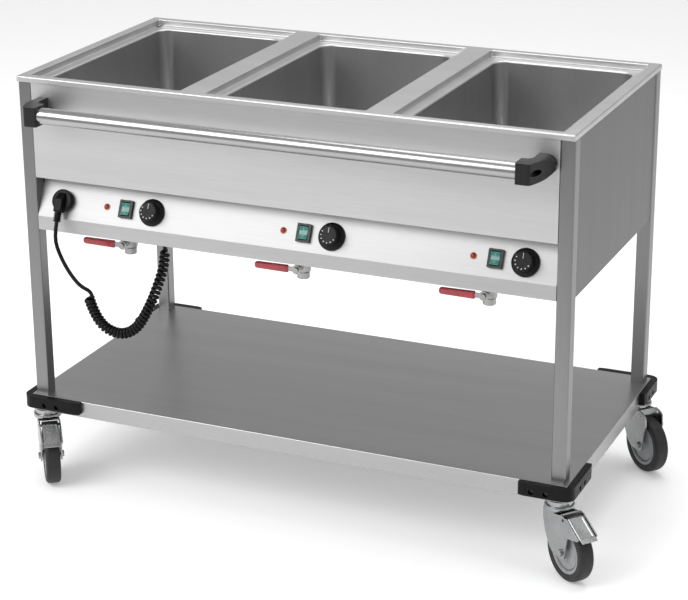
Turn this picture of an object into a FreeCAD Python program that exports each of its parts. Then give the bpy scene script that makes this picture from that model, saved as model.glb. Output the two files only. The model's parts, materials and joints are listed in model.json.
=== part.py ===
"""Steam table unit on casters: three heated wells in a stainless cabinet over an open shelf.

Frame: +X along the length, +Y from the operator's side to the back, +Z up.  The origin is on the
floor, below the middle of the box that encloses the unit without its cord.  Millimetres.
Positions below are measured from the middle of the deck; every finished piece is then moved by
the two frame cells.  Each piece is one object, written to parts/ as LABEL.step.
"""
import FreeCAD, Part
import math
import os

import Sketcher

VEC = FreeCAD.Vector
doc = FreeCAD.newDocument("SteamTable")

# ---------------------------------------------------------------- driving dimensions
dims = doc.addObject("Spreadsheet::Sheet", "Dims")
CELLS = [
    ("deck_length", 1210.0), ("deck_depth", 600.0), ("overall_height", 910.0),
    ("sheet", 1.5), ("rim_height", 12.0), ("recess_step", 14.0), ("well_pitch", 407.0),
    ("opening_x", 306.0), ("opening_y", 510.0), ("opening_radius", 30.0),
    ("ledge_x", 22.0), ("ledge_y", 25.5), ("well_depth", 200.0), ("well_draft", 6.0),
    ("well_wall", 1.2), ("drain_y", -200.0), ("spigot_radius", 10.65), ("spigot_bore", 8.65),
    ("strainer_hole", 1.7),
    ("leg_size", 30.0), ("leg_wall", 1.5), ("leg_inset_x", 0.5), ("leg_inset_y", 6.5),
    ("fascia_bottom", 692.0), ("slant_bottom", 607.0), ("cabinet_bottom", 577.0),
    ("panel_tilt", 24.5), ("panel_mid", 644.0), ("return_flange", 20.0),
    ("shelf_length", 1223.0), ("shelf_depth", 608.0), ("shelf_top", 197.0),
    ("shelf_edge", 36.5), ("bumper_proud", 15.0), ("bumper_tall", 27.0),
    ("bumper_long", 125.0), ("bumper_short", 98.0),
    ("handle_radius", 16.85), ("handle_wall", 1.5), ("handle_reach", 84.5),
    ("handle_drop", 62.0), ("handle_half", 514.0), ("bracket_tall", 41.0),
    ("lamp_offset", -7.0), ("switch_offset", 39.5), ("knob_offset", 100.0),
    ("controls_up", -3.0), ("plug_x", -516.5), ("knob_radius", 28.5), ("cap_radius", 20.0),
    ("knob_tall", 23.0),
    ("valve_centre", 544.0), ("valve_half", 28.0), ("lever_length", 94.0),
    ("outlet_bore", 8.0), ("outlet_depth", 15.0), ("outlet_port", 7.4), ("port_radius", 6.5),
    ("rocker_pin", 1.5),
    ("wheel_radius", 62.5), ("tyre_width", 32.0), ("rim_radius", 46.0),
    ("caster_trail", 42.0), ("axle_radius", 4.0), ("cord_radius", 4.2),
    ("coil_radius", 12.6), ("gland_x", -293.0), ("gland_y", -256.0),
    ("gland_drop", 10.0),
    ("frame_x", 0.0), ("frame_y", 0.0),
]
for row, (alias, number) in enumerate(CELLS, start=1):
    dims.set("A%d" % row, alias)
    dims.set("B%d" % row, repr(number))
    dims.setAlias("B%d" % row, alias)
doc.recompute()


def val(alias):
    """Value of a driving dimension in millimetres or degrees."""
    return float(dims.get(alias))


THK = val("sheet")
TOP = val("overall_height")
HALF_X = val("deck_length") / 2
HALF_Y = val("deck_depth") / 2
RIM_BOTTOM = TOP - val("rim_height")
LEDGE_TOP = TOP - val("recess_step")
LEDGE_UNDER = LEDGE_TOP - THK
LEG = val("leg_size")
LEG_OUT_X = HALF_X - val("leg_inset_x")
LEG_OUT_Y = HALF_Y - val("leg_inset_y")
LEG_IN_X = LEG_OUT_X - LEG
LEG_IN_Y = LEG_OUT_Y - LEG
LEG_MID_X = LEG_OUT_X - LEG / 2
LEG_MID_Y = LEG_OUT_Y - LEG / 2
SHELF_TOP = val("shelf_top")
SHELF_BOTTOM = SHELF_TOP - val("shelf_edge")
CABINET_BOTTOM = val("cabinet_bottom")
TILT = math.radians(val("panel_tilt"))
GROUPS = [("left", -val("well_pitch")), ("middle", 0.0), ("right", val("well_pitch"))]
CORNERS = [
    ("front_left", -1, -1, 36.0, 0.0), ("front_right", 1, -1, 52.0, 90.0),
    ("rear_right", 1, 1, 50.0, 180.0), ("rear_left", -1, 1, -84.0, 270.0),
]
FINISHED = []


# ---------------------------------------------------------------- helpers
def size(obj, prop, amount):
    """Set a length: a text is bound as an expression, a number is set as it is."""
    if isinstance(amount, str):
        obj.setExpression(prop, amount)
    else:
        setattr(obj, prop, amount)


def turned(axis, degrees):
    """Rotation about one axis."""
    return FreeCAD.Rotation(VEC(*axis), degrees)


def place(obj, base, rotation=None):
    """Set a Placement inside the piece."""
    obj.Placement = FreeCAD.Placement(VEC(*base), rotation or FreeCAD.Rotation())
    return obj


def finish(obj, label, base=(0.0, 0.0, 0.0), rotation=None):
    """Name a finished piece and put it in the unit's frame."""
    obj.Label = label
    place(obj, base, rotation)
    obj.setExpression("Placement.Base.x", "Dims.frame_x + %r" % base[0])
    obj.setExpression("Placement.Base.y", "Dims.frame_y + %r" % base[1])
    FINISHED.append(obj)
    return obj


def box(corner, lengths):
    """Block from its lowest corner and three lengths."""
    obj = doc.addObject("Part::Box", "Block")
    for prop, amount in zip(("Length", "Width", "Height"), lengths):
        size(obj, prop, amount)
    return place(obj, corner)


def slab(half_x, half_y, low, high):
    """Block centred on the vertical axis, between two heights."""
    return box((-half_x, -half_y, low), (2 * half_x, 2 * half_y, high - low))


def rod(base, radius, height, axis="Z"):
    """Cylinder from its base point along X, Y or Z."""
    obj = doc.addObject("Part::Cylinder", "Rod")
    size(obj, "Radius", radius)
    size(obj, "Height", height)
    rotation = {"X": turned((0, 1, 0), 90), "Y": turned((1, 0, 0), -90), "Z": None}[axis]
    return place(obj, base, rotation)


def cone(base, radius_1, radius_2, height, rotation=None):
    """Truncated cone from its base point."""
    obj = doc.addObject("Part::Cone", "Taper")
    size(obj, "Radius1", radius_1)
    size(obj, "Radius2", radius_2)
    size(obj, "Height", height)
    return place(obj, base, rotation)


def fuse(*parts):
    """One solid from touching or overlapping parts."""
    obj = doc.addObject("Part::MultiFuse", "Joined")
    obj.Shapes = list(parts)
    obj.Refine = True
    return obj


def cut(base, *tools):
    """Base less every tool."""
    obj = doc.addObject("Part::Cut", "Trimmed")
    obj.Base = base
    obj.Tool = tools[0] if len(tools) == 1 else fuse(*tools)
    return obj


def common(first, second):
    """What two solids share."""
    obj = doc.addObject("Part::Common", "Shared")
    obj.Base = first
    obj.Tool = second
    return obj


def group(parts):
    """Group of separate solids."""
    obj = doc.addObject("Part::Compound", "Group")
    obj.Links = list(parts)
    return obj


def rounded(points, radii):
    """Closed outline of lines and arcs; radii gives each corner's radius."""
    count = len(points)
    edges = []
    starts = []
    ends = []
    for i, radius in enumerate(radii):
        here = VEC(points[i][0], points[i][1], 0)
        before = (VEC(*points[i - 1], 0) - here).normalize()
        after = (VEC(*points[(i + 1) % count], 0) - here).normalize()
        half = before.getAngle(after) / 2
        reach = radius / math.tan(half)
        starts.append(here + before * reach)
        ends.append(here + after * reach)
        if radius > 0:
            inward = (before + after).normalize()
            centre = here + inward * (radius / math.sin(half))
            edges.append(Part.Arc(starts[i], centre - inward * radius, ends[i]))
        else:
            edges.append(None)
    outline = []
    for i in range(count):
        if edges[i]:
            outline.append(edges[i])
        outline.append(Part.LineSegment(ends[i], starts[(i + 1) % count]))
    return outline


def rectangle(half_x, half_y, radius=0.0):
    """Outline of a rectangle with rounded corners."""
    corners = [(-half_x, -half_y), (half_x, -half_y), (half_x, half_y), (-half_x, half_y)]
    return rounded(corners, [radius] * 4)


def polygon(points):
    """Outline with sharp corners."""
    return rounded(points, [0.0] * len(points))


def circle(x, y, radius):
    """Outline of one circle."""
    return [Part.Circle(VEC(x, y, 0), VEC(0, 0, 1), radius)]


def new_body():
    """Empty PartDesign body."""
    return doc.addObject("PartDesign::Body", "Body")


def sketch(body, role, outlines, offset=0.0):
    """Sketch on one of the body's origin planes, with its ends joined."""
    obj = body.newObject("Sketcher::SketchObject", "Outline")
    plane = [item for item in body.Origin.OriginFeatures if item.Role == role][0]
    obj.AttachmentSupport = [(plane, "")]
    obj.MapMode = "FlatFace"
    obj.AttachmentOffset = FreeCAD.Placement(VEC(0, 0, offset), FreeCAD.Rotation())
    for outline in outlines:
        first = obj.GeometryCount
        obj.addGeometry(outline, False)
        last = obj.GeometryCount
        if last - first < 2:
            continue
        for i in range(first, last):
            following = i + 1 if i + 1 < last else first
            join_ends(obj, i, following)
    return obj


def join_ends(obj, i, following):
    """Make the shared end of two neighbouring edges coincident."""
    for here in (1, 2):
        for there in (1, 2):
            gap = obj.getPoint(i, here) - obj.getPoint(following, there)
            if gap.Length < 1e-6:
                obj.addConstraint(Sketcher.Constraint("Coincident", i, here, following, there))
                return


def pad(body, profile, length, midplane=False, backwards=False):
    """Pad of a sketch."""
    obj = body.newObject("PartDesign::Pad", "Pad")
    obj.Profile = profile
    obj.Midplane = midplane
    obj.Reversed = backwards
    size(obj, "Length", length)
    profile.Visibility = False
    return obj


def prism(role, outlines, length, offset=0.0, midplane=False, backwards=False):
    """Body made by padding one sketch."""
    body = new_body()
    pad(body, sketch(body, role, outlines, offset), length, midplane, backwards)
    return body


def turning(points):
    """Body turned about the vertical axis from (radius, height) points."""
    body = new_body()
    profile = sketch(body, "XZ_Plane", [polygon(points)])
    obj = body.newObject("PartDesign::Revolution", "Turning")
    obj.Profile = profile
    obj.ReferenceAxis = (profile, ["V_Axis"])
    obj.Angle = 360.0
    return body


def bent_sheet(line, thickness):
    """Closed outline of a folded sheet; the sheet lies to the left of the line."""
    normals = []
    for a, b in zip(line, line[1:]):
        run = math.hypot(b[0] - a[0], b[1] - a[1])
        normals.append((-(b[1] - a[1]) / run, (b[0] - a[0]) / run))
    inner = []
    for i, point in enumerate(line):
        first = normals[max(i - 1, 0)]
        second = normals[min(i, len(normals) - 1)]
        scale = thickness / (1 + first[0] * second[0] + first[1] * second[1])
        inner.append((point[0] + (first[0] + second[0]) * scale,
                      point[1] + (first[1] + second[1]) * scale))
    return polygon(list(line) + inner[::-1])


PANEL_TURN = turned((1, 0, 0), 90.0 - val("panel_tilt"))
PANEL_BASE_Y = -LEG_OUT_Y + (val("panel_mid") - val("slant_bottom")) * math.tan(TILT)


def panel_point(x, up=0.0, out=0.0):
    """Point on the slanted panel: up along its face, out along its normal."""
    return (x, PANEL_BASE_Y + up * math.sin(TILT) - out * math.cos(TILT),
            val("panel_mid") + up * math.cos(TILT) + out * math.sin(TILT))


def control_point(x):
    """Where a lamp, switch, knob or the plug is centred on the panel."""
    return panel_point(x, val("controls_up"))


def on_panel(obj, x):
    """Place a control whose own axes are across, up and out of the slanted panel."""
    return place(obj, control_point(x), PANEL_TURN)


# ---------------------------------------------------------------- deck and wells
def top_deck():
    """Pressed top: rim, return flange, three stepped recesses with rounded openings."""
    shell = cut(
        box((-HALF_X, -HALF_Y, RIM_BOTTOM),
            ("Dims.deck_length", "Dims.deck_depth", "Dims.rim_height")),
        slab(HALF_X - THK, HALF_Y - THK, RIM_BOTTOM - 1, TOP - THK))
    flange = cut(slab(HALF_X, HALF_Y, RIM_BOTTOM, RIM_BOTTOM + THK),
                 slab(HALF_X - 20, HALF_Y - 16, RIM_BOTTOM - 1, RIM_BOTTOM + 2))
    half_x = val("opening_x") / 2 + val("ledge_x")
    half_y = val("opening_y") / 2 + val("ledge_y")
    trays = []
    removed = []
    for _, x in GROUPS:
        trays.append(box((x - half_x - THK, -half_y - THK, LEDGE_UNDER),
                         (2 * half_x + 2 * THK, 2 * half_y + 2 * THK, TOP - LEDGE_UNDER)))
        removed.append(box((x - half_x, -half_y, LEDGE_TOP),
                           ("Dims.opening_x + 2 * Dims.ledge_x",
                            "Dims.opening_y + 2 * Dims.ledge_y", "Dims.recess_step + 1")))
        opening = prism("XY_Plane", [rectangle(val("opening_x") / 2, val("opening_y") / 2,
                                               val("opening_radius"))],
                        "Dims.recess_step + Dims.sheet + 2", LEDGE_UNDER - 1)
        removed.append(place(opening, (x, 0, 0)))
    finish(cut(fuse(shell, flange, *trays), *removed), "top_deck")


def level_edges(solid, height):
    """Names of the edges that lie flat at one height."""
    names = []
    for i, edge in enumerate(solid.Edges, start=1):
        limits = edge.BoundBox
        if abs(limits.ZMin - height) < 0.01 and abs(limits.ZMax - height) < 0.01:
            names.append("Edge%d" % i)
    return names


def drawn_block(floor, grow):
    """Body of a drawn well: a loft from the ledge to the floor with a rounded heel."""
    half_x = val("opening_x") / 2 + grow
    half_y = val("opening_y") / 2 + grow
    corner = val("opening_radius") + grow
    draft = val("well_draft")
    body = new_body()
    mouth = rectangle(half_x, half_y, corner)
    foot = rectangle(half_x - draft, half_y - draft, corner - draft)
    loft = body.newObject("PartDesign::AdditiveLoft", "Drawn")
    loft.Profile = sketch(body, "XY_Plane", [mouth], LEDGE_UNDER)
    loft.Sections = [sketch(body, "XY_Plane", [foot], floor)]
    loft.Ruled = True
    doc.recompute()
    heel = body.newObject("PartDesign::Fillet", "Heel")
    heel.Base = (loft, level_edges(loft.Shape, floor))
    heel.Radius = 16.0 + grow
    doc.recompute()
    return body


def well(side, x):
    """Deep-drawn well hung under the ledge, with a strainer and a drain spigot in its floor."""
    wall = val("well_wall")
    floor = TOP - val("well_depth")
    mouth = rectangle(val("opening_x") / 2, val("opening_y") / 2, val("opening_radius"))
    brim = rectangle(val("opening_x") / 2 + 13, val("opening_y") / 2 + 13,
                     val("opening_radius") + 13)
    flange = prism("XY_Plane", [brim, mouth], "Dims.well_wall", LEDGE_UNDER, backwards=True)
    spigot_end = val("valve_centre") + 14
    spigot = rod((0, val("drain_y"), spigot_end), "Dims.spigot_radius",
                 floor - wall / 2 - spigot_end)
    bore = rod((0, val("drain_y"), spigot_end - 1), "Dims.spigot_bore",
               floor - wall - spigot_end + 1)
    strainer = [rod((0, val("drain_y"), floor - 3), "Dims.strainer_hole", 6)]
    for turn in range(6):
        angle = math.radians(60 * turn)
        strainer.append(rod((5.8 * math.cos(angle), val("drain_y") + 5.8 * math.sin(angle),
                             floor - 3), "Dims.strainer_hole", 6))
    basin = cut(fuse(drawn_block(floor - wall, wall), flange, spigot),
                drawn_block(floor, 0.0), bore, *strainer)
    finish(basin, "well_" + side, (x, 0.0, 0.0))


def heating_elements():
    """Serpentine tubular heater under each well."""
    radius = 4.0
    height = TOP - val("well_depth") - val("well_wall") - radius - 0.3
    front = -120.0
    back = 180.0
    bend = 30.0
    serpentines = []
    for _, x in GROUPS:
        runs = [rod((x + i * bend, front, height), radius, back - front, "Y") for i in (-3, -1, 1, 3)]
        for offset, y, turn in ((-2, back, 0), (2, back, 0), (0, front, 180)):
            ring = doc.addObject("Part::Torus", "Bend")
            ring.Radius1 = bend
            ring.Radius2 = radius
            ring.Angle3 = 180.0
            runs.append(place(ring, (x + offset * bend, y, height), turned((0, 0, 1), turn)))
        serpentines.append(fuse(*runs))
    finish(group(serpentines), "heating_elements")


# ---------------------------------------------------------------- cabinet
def leg(name, side, end):
    """Square tube from the shelf to the rim, relieved under the corner of the recess."""
    x = side * LEG_MID_X
    y = end * LEG_MID_Y
    half = LEG / 2
    bore = half - val("leg_wall")
    tall = RIM_BOTTOM - SHELF_TOP
    outer = box((x - half, y - half, SHELF_TOP), ("Dims.leg_size", "Dims.leg_size", tall))
    inner = box((x - bore, y - bore, SHELF_TOP - 1), (2 * bore, 2 * bore, tall + 2))
    relief = box((x - half - side * 20, y - half - end * 10, LEDGE_UNDER - 0.4), (LEG, LEG, 10))
    finish(cut(outer, inner, relief), "leg_" + name)


def front_fascia():
    """Flat front sheet with a return along its top and bottom."""
    line = [(-LEG_OUT_Y + 40, val("fascia_bottom")), (-LEG_OUT_Y, val("fascia_bottom")),
            (-LEG_OUT_Y, RIM_BOTTOM), (-LEG_OUT_Y + 11, RIM_BOTTOM)]
    sheet = prism("YZ_Plane", [bent_sheet(line[::-1], THK)], 2 * LEG_IN_X, midplane=True)
    holes = [rod((side * SCREW_X, -LEG_OUT_Y - 2, HANDLE_Z), 2.7, 6, "Y") for side in (-1, 1)]
    finish(cut(sheet, *holes), "front_fascia")


def rear_panel():
    """Back sheet between the rear legs."""
    line = [(LEG_OUT_Y - val("return_flange"), CABINET_BOTTOM), (LEG_OUT_Y, CABINET_BOTTOM),
            (LEG_OUT_Y, RIM_BOTTOM), (LEG_OUT_Y - 8, RIM_BOTTOM)]
    finish(prism("YZ_Plane", [bent_sheet(line, THK)], 2 * LEG_IN_X, midplane=True), "rear_panel")


def side_panel(side, name):
    """End sheet between a front and a rear leg, set in from the legs' outer faces."""
    face = LEG_OUT_X - 2
    line = [(face - val("return_flange"), CABINET_BOTTOM), (face, CABINET_BOTTOM),
            (face, RIM_BOTTOM), (face - 12, RIM_BOTTOM)]
    if side < 0:
        line = [(-x, z) for x, z in line][::-1]
    finish(prism("XZ_Plane", [bent_sheet(line, THK)], 2 * LEG_IN_Y, midplane=True),
           "side_panel_" + name)


def control_panel():
    """Slanted front below the fascia with a lip, cut for the controls."""
    top_y = -LEG_OUT_Y + (val("fascia_bottom") - val("slant_bottom")) * math.tan(TILT)
    line = [(top_y, val("fascia_bottom")), (-LEG_OUT_Y, val("slant_bottom")),
            (-LEG_OUT_Y, CABINET_BOTTOM), (-LEG_OUT_Y + val("return_flange"), CABINET_BOTTOM)]
    sheet = prism("YZ_Plane", [bent_sheet(line, THK)], 2 * LEG_IN_X, midplane=True)
    tools = [on_panel(prism("XY_Plane", [circle(0, 0, 17.2)], 10, -5), val("plug_x"))]
    for _, x in GROUPS:
        tools.append(on_panel(prism("XY_Plane", [circle(0, 0, 5.2)], 10, -5),
                              x + val("lamp_offset")))
        tools.append(on_panel(prism("XY_Plane", [rectangle(12.7, 17.0)], 10, -5),
                              x + val("switch_offset")))
        tools.append(on_panel(prism("XY_Plane", [circle(0, 0, 5.0)], 10, -5),
                              x + val("knob_offset")))
    finish(cut(sheet, *tools), "control_panel")


def underside_pan():
    """Floor of the cabinet, resting on the return flanges."""
    low = CABINET_BOTTOM + THK
    sheet = fuse(slab(LEG_OUT_X - 2 - THK - 0.2, LEG_IN_Y - 0.3, low, low + THK),
                 slab(LEG_IN_X - 0.3, LEG_OUT_Y - THK - 0.3, low, low + THK))
    holes = [rod((x, val("drain_y"), low - 1), 11.5, 4) for _, x in GROUPS]
    holes.append(rod((val("gland_x"), val("gland_y"), low - 1), 10.2, 4))
    finish(cut(sheet, *holes), "underside_pan")


# ---------------------------------------------------------------- shelf and bumpers
SHELF_X = val("shelf_length") / 2
SHELF_Y = val("shelf_depth") / 2
BUMPER_LOW = SHELF_TOP - val("bumper_tall")
SCREW_Z = SHELF_TOP - 17.5
SCREW_STEPS = (40.0, 70.0)
HANDLE_Z = TOP - val("handle_drop")
HANDLE_FRONT = -LEG_OUT_Y - val("handle_reach")
HANDLE_Y = HANDLE_FRONT + 20.0
SCREW_X = val("handle_half") + 35.5


def bumper_frame(side, end, turn):
    """Shelf corner and rotation of a bumper."""
    return (side * SHELF_X, end * SHELF_Y, 0.0), turned((0, 0, 1), turn)


def lower_shelf():
    """Flat shelf with down-turned edges and a hem."""
    shell = cut(box((-SHELF_X, -SHELF_Y, SHELF_BOTTOM),
                    ("Dims.shelf_length", "Dims.shelf_depth", "Dims.shelf_edge")),
                slab(SHELF_X - THK, SHELF_Y - THK, SHELF_BOTTOM - 1, SHELF_TOP - THK))
    hem = cut(slab(SHELF_X, SHELF_Y, SHELF_BOTTOM, SHELF_BOTTOM + THK),
              slab(SHELF_X - 5, SHELF_Y - 5, SHELF_BOTTOM - 1, SHELF_BOTTOM + 2))
    holes = []
    for _, side, end, _, turn in CORNERS:
        holes.append(rod((side * LEG_MID_X, end * LEG_MID_Y, SHELF_TOP - 3), 6.3, 5))
        base, rotation = bumper_frame(side, end, turn)
        for step in SCREW_STEPS:
            drill = fuse(rod((step, -1, SCREW_Z), 2.7, 4, "Y"), rod((-1, step, SCREW_Z), 2.7, 4, "X"))
            holes.append(place(drill, base, rotation))
    finish(cut(fuse(shell, hem), *holes), "lower_shelf")


def corner_bumper(name, side, end, turn):
    """Moulded corner guard with one long and one short arm and sunk screw holes."""
    proud = val("bumper_proud")
    long_arm = val("bumper_long")
    short_arm = val("bumper_short")
    outline = rounded([(-proud, -proud), (long_arm - 12, -proud), (long_arm, 3 - proud),
                       (long_arm, 0), (0, 0), (0, short_arm), (3 - proud, short_arm),
                       (-proud, short_arm - 12)], [24.0, 4.0, 2.0, 0, 0, 0, 2.0, 4.0])
    block = prism("XY_Plane", [outline], "Dims.bumper_tall", BUMPER_LOW)
    holes = []
    for step in SCREW_STEPS:
        holes.append(rod((step, -proud - 1, SCREW_Z), 2.7, proud + 2, "Y"))
        holes.append(rod((step, -proud - 1, SCREW_Z), 5.5, 10, "Y"))
        holes.append(rod((-proud - 1, step, SCREW_Z), 2.7, proud + 2, "X"))
        holes.append(rod((-proud - 1, step, SCREW_Z), 5.5, 10, "X"))
    base, rotation = bumper_frame(side, end, turn)
    finish(cut(block, *holes), "corner_bumper_" + name, base, rotation)


def pan_head_screw(base, axis):
    """M5 screw; base is the seat of its head and the shank runs along the axis."""
    back = {"X": (-3.0, 0, 0), "Y": (0, -3.0, 0)}[axis]
    start = tuple(a + b for a, b in zip(base, back))
    return fuse(rod(start, 4.6, 3.0, axis), rod(base, 2.5, 15.0, axis))


def pan_head_screws():
    """Sixteen screws of the bumpers and two of the push handle."""
    seat = -val("bumper_proud") + 9
    screws = []
    for _, side, end, _, turn in CORNERS:
        base, rotation = bumper_frame(side, end, turn)
        for step in SCREW_STEPS:
            screws.append(place(pan_head_screw((step, seat, SCREW_Z), "Y"), base, rotation))
            screws.append(place(pan_head_screw((seat, step, SCREW_Z), "X"), base, rotation))
    for side in (-1, 1):
        screws.append(pan_head_screw((side * SCREW_X, -LEG_OUT_Y - 8, HANDLE_Z), "Y"))
    finish(group(screws), "pan_head_screws")


# ---------------------------------------------------------------- push handle
def push_handle_tube():
    """Round tube whose ends sit in the two brackets."""
    half = val("handle_half") + 21.5
    tube = cut(rod((-half, HANDLE_Y, HANDLE_Z), "Dims.handle_radius", 2 * half, "X"),
               rod((-half - 1, HANDLE_Y, HANDLE_Z), "Dims.handle_radius - Dims.handle_wall",
                   2 * half + 2, "X"))
    finish(tube, "push_handle_tube")


def handle_bracket(side, name):
    """Moulded elbow from the tube back to the fascia."""
    inner = val("handle_half")
    plan = [(inner, HANDLE_FRONT), (inner + 29, HANDLE_FRONT), (inner + 56, -LEG_OUT_Y - 12),
            (inner + 56, -LEG_OUT_Y), (inner + 21, -LEG_OUT_Y), (inner + 21, HANDLE_FRONT + 38),
            (inner, HANDLE_FRONT + 38)]
    radii = [3.0, 6.0, 4.0, 0.0, 0.0, 14.0, 3.0]
    half = val("bracket_tall") / 2
    front = [(inner - 1, HANDLE_Z - half), (inner + 56, HANDLE_Z - half),
             (inner + 56, HANDLE_Z + half), (inner - 1, HANDLE_Z + half)]
    if side < 0:
        plan = [(-x, y) for x, y in plan]
        front = [(-x, z) for x, z in front]
    arm = prism("XY_Plane", [rounded(plan, radii)], "Dims.bracket_tall", HANDLE_Z - half)
    face = prism("XZ_Plane", [rounded(front, [0.0, half - 0.2, half - 0.2, 0.0])], 120.0,
                 -HANDLE_FRONT - 110)
    start = side * inner if side > 0 else -inner - 22
    reach = start - 1 if side > 0 else start
    tools = [rod((reach, HANDLE_Y, HANDLE_Z), "Dims.handle_radius", 23, "X"),
             rod((side * SCREW_X, HANDLE_FRONT - 1, HANDLE_Z), 6.0, val("handle_reach") - 7, "Y"),
             rod((side * SCREW_X, HANDLE_FRONT - 1, HANDLE_Z), 2.7, val("handle_reach") + 2, "Y")]
    finish(cut(common(arm, face), *tools), "handle_bracket_" + name)


# ---------------------------------------------------------------- controls
def indicator_lamps():
    """Three domed lamps clipped in the panel."""
    lamps = []
    for _, x in GROUPS:
        lamp = turning([(0, -18), (5.0, -18), (5.0, 0), (6.6, 0), (6.6, 1.5), (5.6, 3.2),
                        (3.4, 4.8), (0, 5.4)])
        lamps.append(on_panel(lamp, x + val("lamp_offset")))
    finish(group(lamps), "indicator_lamps")


ROCKER_AXIS = -5.0


def switch_housings():
    """Three switch cases with a bezel, a well for the rocker and holes for its pivot pin."""
    cases = []
    for _, x in GROUPS:
        bezel = prism("XY_Plane", [rectangle(15.2, 19.0, 2.0), rectangle(10.0, 14.7)], 6.5)
        case = prism("XY_Plane", [rectangle(12.6, 16.9), rectangle(10.0, 14.7)], 26.0, -26.0)
        floor = prism("XY_Plane", [rectangle(12.6, 16.9)], 6.0, -32.0)
        pin_hole = rod((-13, 0, ROCKER_AXIS), "Dims.rocker_pin + 0.06", 26, "X")
        case = cut(fuse(bezel, case, floor), pin_hole)
        cases.append(on_panel(case, x + val("switch_offset")))
    finish(group(cases), "switch_housings")


def rocker(side, x):
    """Rocker that tips about the pivot pin across its middle."""
    outline = [(-13.4, -3.0), (-10.0, -11.0), (10.0, -11.0), (13.4, -3.0), (13.0, 7.4),
               (0.0, 5.4), (-13.0, 9.8)]
    body = prism("YZ_Plane", [rounded(outline, [0, 2, 2, 0, 1, 8, 1])], 19.4, midplane=True)
    pin = rod((-12.4, 0, ROCKER_AXIS), "Dims.rocker_pin", 24.8, "X")
    finish(fuse(body, pin), "rocker_" + side, control_point(x + val("switch_offset")), PANEL_TURN)


def thermostats():
    """Three thermostats screwed behind the panel; each bush guides a knob's spindle."""
    cases = []
    for _, x in GROUPS:
        case = prism("XY_Plane", [rectangle(19.0, 19.0, 3.0), circle(0, 0, 3.06)], 26.0,
                     -THK - 26.0)
        bush = prism("XY_Plane", [circle(0, 0, 4.8), circle(0, 0, 3.06)], THK + 2.0, -THK)
        cases.append(on_panel(fuse(case, bush), x + val("knob_offset")))
    finish(group(cases), "thermostats")


def control_knob(side, x):
    """Knob with a wide skirt, a raised cap and its spindle."""
    skirt = val("knob_radius")
    cap = val("cap_radius")
    tall = val("knob_tall")
    knob = turning([(0, -14), (3.0, -14), (3.0, 4.0), (6.0, 4.0), (6.0, 1.0), (skirt, 1.0),
                    (skirt, 4.0), (skirt - 2.5, 6.5), (cap + 2.0, 8.0), (cap, tall - 1.5),
                    (cap - 1.5, tall), (0, tall)])
    finish(knob, "control_knob_" + side, control_point(x + val("knob_offset")), PANEL_TURN)


def plug_socket():
    """Parking socket that holds the plug on the panel."""
    holder = turning([(0, -24), (17.0, -24), (17.0, 0), (22.5, 0), (22.5, 5.0), (0, 5.0)])
    pins = [rod((side * 9.5, 0, -16.5), 2.5, 23) for side in (-1, 1)]
    finish(cut(holder, *pins), "plug_socket", control_point(val("plug_x")), PANEL_TURN)


PLUG_EXIT = (0.0, -47.0, 19.0)


def plug():
    """Angled mains plug: a round flange with two pins, a grip block and a tapered outlet."""
    flange = turning([(0, 5.2), (23.2, 5.2), (24.0, 6.5), (24.0, 12.0), (22.0, 14.5), (0, 14.5)])
    side_view = rounded([(-27.0, 10.5), (16.0, 10.5), (16.0, 15.0), (1.0, 28.0), (-24.0, 28.0),
                         (-27.0, 25.0)], [1.0, 0.0, 2.0, 5.0, 2.0, 2.0])
    grip = prism("YZ_Plane", [side_view], 18.6, midplane=True)
    outlet = cone((0, -22, PLUG_EXIT[2]), 8.8, 7.4, -PLUG_EXIT[1] - 22, turned((1, 0, 0), 90))
    pins = [rod((side * 9.5, 0, -13.5), 2.4, 20) for side in (-1, 1)]
    finish(fuse(flange, grip, outlet, *pins), "plug", control_point(val("plug_x")), PANEL_TURN)


# ---------------------------------------------------------------- mains cord
GLAND_END = CABINET_BOTTOM - val("gland_drop")


def cable_gland():
    """Gland through the underside pan, with its lock nut inside the cabinet."""
    low = GLAND_END
    hexagon = [(12.0 * math.cos(math.radians(60 * i)), 12.0 * math.sin(math.radians(60 * i)))
               for i in range(6)]
    bore = circle(0, 0, 4.4)
    seat = CABINET_BOTTOM + THK
    dome = prism("XY_Plane", [polygon(hexagon), bore], 6.0, low)
    collar = prism("XY_Plane", [circle(0, 0, 13.0), bore], seat - low - 6, low + 6)
    thread = prism("XY_Plane", [circle(0, 0, 10.0), bore], 14.0, seat)
    lock = prism("XY_Plane", [circle(0, 0, 13.0), circle(0, 0, 9.5)], 5.0, seat + THK)
    finish(fuse(dome, collar, thread, lock), "cable_gland", (val("gland_x"), val("gland_y"), 0.0))


def plug_exit(away=0.0):
    """Point straight out of the plug's outlet, measured from the deck's middle."""
    return panel_point(val("plug_x"), val("controls_up") + PLUG_EXIT[1] - away, PLUG_EXIT[2])


LEAD_ROUTE = [
    plug_exit(), plug_exit(34.0), (-500.0, -334.0, 538.0), (-485.5, -325.0, 500.0),
    (-470.0, -311.0, 468.0), (-453.5, -297.4, 454.5), (-449.9, -296.0, 440.0),
]
COIL_ROUTE = [
    (-458.0, -296.0, 438.0), (-445.0, -291.0, 385.0), (-397.0, -289.0, 360.0),
    (-352.0, -286.0, 377.0), (-320.0, -281.0, 433.0), (-301.0, -268.0, 490.0),
    (val("gland_x"), val("gland_y"), 530.0), (val("gland_x"), val("gland_y"), GLAND_END),
]


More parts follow.
